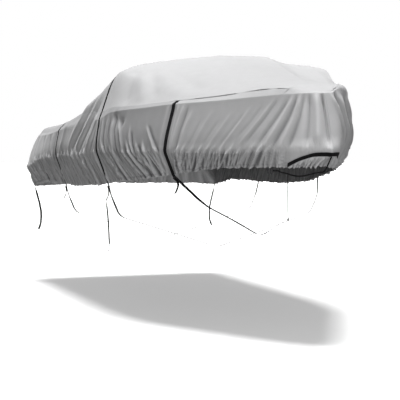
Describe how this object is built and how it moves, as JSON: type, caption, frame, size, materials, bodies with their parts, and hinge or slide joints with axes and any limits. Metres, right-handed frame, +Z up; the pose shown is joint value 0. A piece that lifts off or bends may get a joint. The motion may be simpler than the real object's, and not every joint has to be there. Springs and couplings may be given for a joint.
{
  "type": "fitted boat cover",
  "caption": "Fitted grey cloth cover for a V-bow runabout, draped over a windshield hoop, with pleated tucked-under sides, black webbing straps, buckles and hanging ties.",
  "frame": {"origin": "under the cloth at the crown of the windshield hoop, on the centreline, where the boat carries the cover", "axes": "+X to the bow, +Y to port, +Z up"},
  "size_m": [5.04, 2.136, 1.611],
  "materials": {
    "grey_cloth": "matte woven polyester",
    "black_webbing": "matte woven webbing",
    "black_plastic": "satin"
  },
  "bodies": {
    "root": {"top_panel": "grey_cloth", "side_panel_starboard": "grey_cloth", "side_panel_port": "grey_cloth", "bow_trim": "black_webbing", "aft_strap_over": "black_webbing", "mid_strap_over": "black_webbing", "bow_strap_starboard": "black_webbing", "bow_strap_port": "black_webbing", "aft_strap_under": "black_webbing", "mid_strap_under": "black_webbing", "bow_strap_under": "black_webbing", "aft_strap_tail": "black_webbing", "mid_strap_tail": "black_webbing", "bow_strap_tail": "black_webbing", "stern_tie_starboard": "black_webbing", "stern_tie_port": "black_webbing", "side_tie": "black_webbing", "bow_rope": "black_webbing", "bow_line": "black_webbing", "aft_buckle": "black_plastic", "mid_buckle": "black_plastic", "bow_buckle": "black_plastic", "side_tie_hook": "black_plastic", "bow_line_buckle": "black_plastic"}
  },
  "joints": []
}
